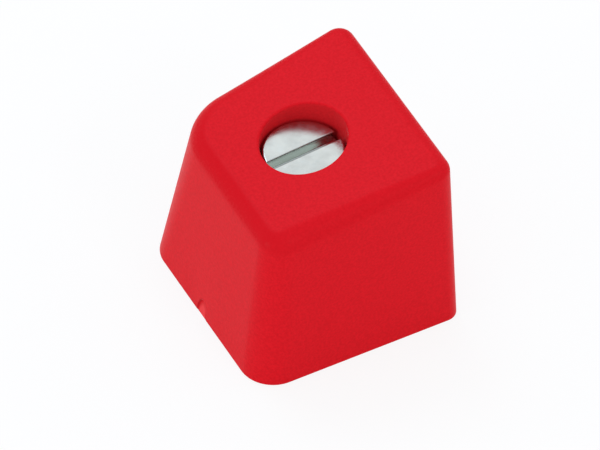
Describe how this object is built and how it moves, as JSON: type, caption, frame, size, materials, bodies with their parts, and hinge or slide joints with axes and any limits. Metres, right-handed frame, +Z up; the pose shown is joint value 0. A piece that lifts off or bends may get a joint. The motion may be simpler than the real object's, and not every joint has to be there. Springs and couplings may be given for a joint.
{
  "type": "screw-on bumper block",
  "caption": "Tapered red moulded bumper block with a sloping top, held on a square post by a slotted screw sunk in a counterbore.",
  "frame": {"origin": "middle of the base, on the screw's axis", "axes": "+Z up along the screw, -Y towards the low end of the sloping top, +X across the block"},
  "size_m": [0.0248, 0.0238, 0.0225],
  "materials": {
    "moulded_red": "satin moulded plastic with a fine grain",
    "bush_steel": "turned steel",
    "washer_zinc": "zinc plated",
    "spring_steel": "plain spring steel",
    "screw_zinc": "bright zinc plated"
  },
  "bodies": {
    "block": {"moulded_block": "moulded_red", "bore_bush": "bush_steel"},
    "washers": {"flat_washer": "washer_zinc", "spring_washer": "spring_steel"},
    "screw": {"slotted_screw": "screw_zinc"}
  },
  "joints": [
    {"name": "screw_lift", "type": "slide", "parent": "block", "child": "washers", "axis": [0, 0, 1], "range_m": [0, 0.004]},
    {"name": "screw_turn", "type": "hinge", "parent": "washers", "child": "screw", "pos_m": [0, 0, 0.0157], "axis": [0, 0, 1], "range_deg": [0, 1800]}
  ],
  "couplings": [
    {"joint": "screw_turn", "follows": "screw_lift", "rad_per_m": 7854}
  ]
}
